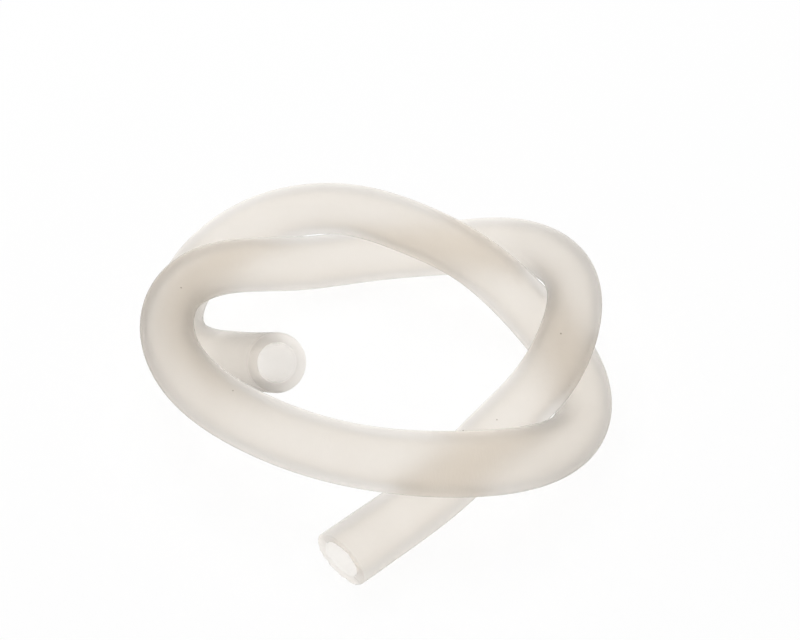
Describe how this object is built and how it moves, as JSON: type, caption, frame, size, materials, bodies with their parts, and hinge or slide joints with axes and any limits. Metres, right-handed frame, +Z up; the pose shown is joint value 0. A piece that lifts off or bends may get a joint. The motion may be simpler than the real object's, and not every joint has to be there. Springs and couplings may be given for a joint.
{
  "type": "knotted silicone tubing",
  "caption": "Short length of translucent silicone laboratory tubing, open at both ends and tied in a loose overhand knot that lies flat on a surface.",
  "frame": {"origin": "on the surface that the knot lies on, under the middle of its bounding box", "axes": "+Z up, +Y from the end that points out of the knot towards its far side, +X to the right"},
  "size_m": [0.0747, 0.0814, 0.0215],
  "materials": {
    "silicone": "satin"
  },
  "bodies": {
    "root": {"tubing": "silicone"}
  },
  "joints": []
}
